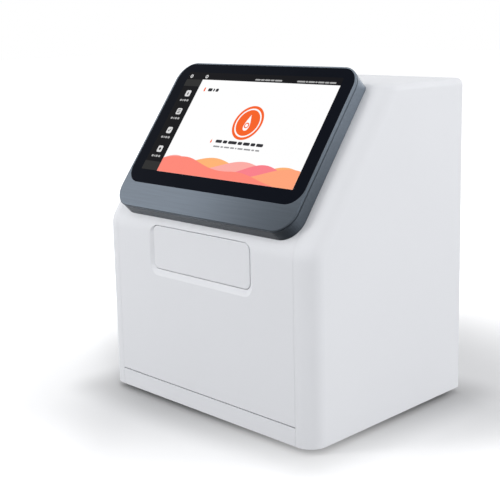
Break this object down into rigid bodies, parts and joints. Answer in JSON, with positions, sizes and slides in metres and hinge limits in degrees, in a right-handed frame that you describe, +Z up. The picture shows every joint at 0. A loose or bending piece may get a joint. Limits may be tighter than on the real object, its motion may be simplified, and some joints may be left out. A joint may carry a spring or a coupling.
{
  "type": "chemistry analyzer",
  "caption": "Bench-top chemistry analyzer: white case with a sloping front, a framed touch display and a motor-driven drawer that spins a reagent disc.",
  "frame": {"origin": "on the standing surface, at the middle of the overall outline from the display's foremost edge to the back of the case", "axes": "+X to the right as the user faces the display, +Y to the back, +Z up; the drawer opens along -Y"},
  "size_m": [0.21, 0.166, 0.2455],
  "materials": {
    "case_white": "fine moulded satin",
    "display_grey": "satin painted surround",
    "screen_glass": "polished black-bordered glass",
    "screen": "lit screen module",
    "foot_rubber": "matt",
    "screw_steel": "plated",
    "shaft_steel": "ground",
    "deck_steel": "zinc plated sheet",
    "post_brass": "turned",
    "guide_plastic": "natural acetal",
    "tray_plastic": "moulded",
    "turntable_plastic": "moulded",
    "motor_metal": "motor can",
    "plate_aluminium": "anodised",
    "optics_black": "matt black",
    "lens_glass": "polished",
    "board_green": "solder mask",
    "cable_white": "flat cable",
    "fan_black": "moulded",
    "socket_metal": "stamped"
  },
  "bodies": {
    "housing": {"outer_cover": "case_white", "front_cover": "case_white", "base_pan": "case_white", "rubber_feet": "foot_rubber", "foot_screws": "screw_steel", "base_screws": "screw_steel", "display_bezel": "display_grey", "display_housing": "display_grey", "cover_glass": "screen_glass", "lcd_panel": "screen", "display_board": "board_green", "display_cable": "cable_white", "rear_panel": "case_white", "case_screws": "screw_steel", "drawer_motor": "motor_metal", "chassis_deck": "deck_steel", "deck_posts": "post_brass", "deck_screws": "screw_steel", "guide_left": "guide_plastic", "guide_right": "guide_plastic", "guide_screws": "screw_steel", "heater_plate": "plate_aluminium", "heater_posts": "post_brass", "heater_screws": "screw_steel", "optical_head": "optics_black", "objective_lens": "lens_glass", "detector_board": "board_green", "main_board": "board_green", "heat_sink": "plate_aluminium", "power_board": "board_green", "board_standoffs": "post_brass", "board_screws": "screw_steel", "fan_frame": "fan_black", "fan_screws": "screw_steel", "switch_frame": "fan_black", "dc_inlet": "fan_black", "usb_sockets": "socket_metal", "network_socket": "socket_metal"},
    "drawer": {"drawer_front": "case_white", "drawer_tray": "tray_plastic", "drawer_rack": "guide_plastic", "drawer_screws": "screw_steel", "spindle_motor": "motor_metal"},
    "turntable": {"turntable": "turntable_plastic", "spindle_shaft": "shaft_steel"},
    "pinion": {"drive_pinion": "guide_plastic", "pinion_shaft": "shaft_steel"},
    "fan": {"fan_rotor": "fan_black"},
    "rocker": {"power_rocker": "fan_black"}
  },
  "joints": [
    {"name": "drawer_slide", "type": "slide", "parent": "housing", "child": "drawer", "axis": [0, -1, 0], "range_m": [0, 0.09]},
    {"name": "turntable_spin", "type": "hinge", "parent": "drawer", "child": "turntable", "pos_m": [0, -0.015, 0.1172], "axis": [0, 0, 1], "continuous": true},
    {"name": "pinion_spin", "type": "hinge", "parent": "housing", "child": "pinion", "pos_m": [-0.056, -0.05802, 0.11], "axis": [0, 0, 1], "range_deg": [-650, 5]},
    {"name": "fan_spin", "type": "hinge", "parent": "housing", "child": "fan", "pos_m": [0.048, 0.06948, 0.172], "axis": [0, 1, 0], "continuous": true},
    {"name": "rocker_tip", "type": "hinge", "parent": "housing", "child": "rocker", "pos_m": [0.076, 0.07868, 0.031], "axis": [1, 0, 0], "range_deg": [0, 12]}
  ],
  "couplings": [
    {"joint": "pinion_spin", "follows": "drawer_slide", "rad_per_m": -125}
  ]
}
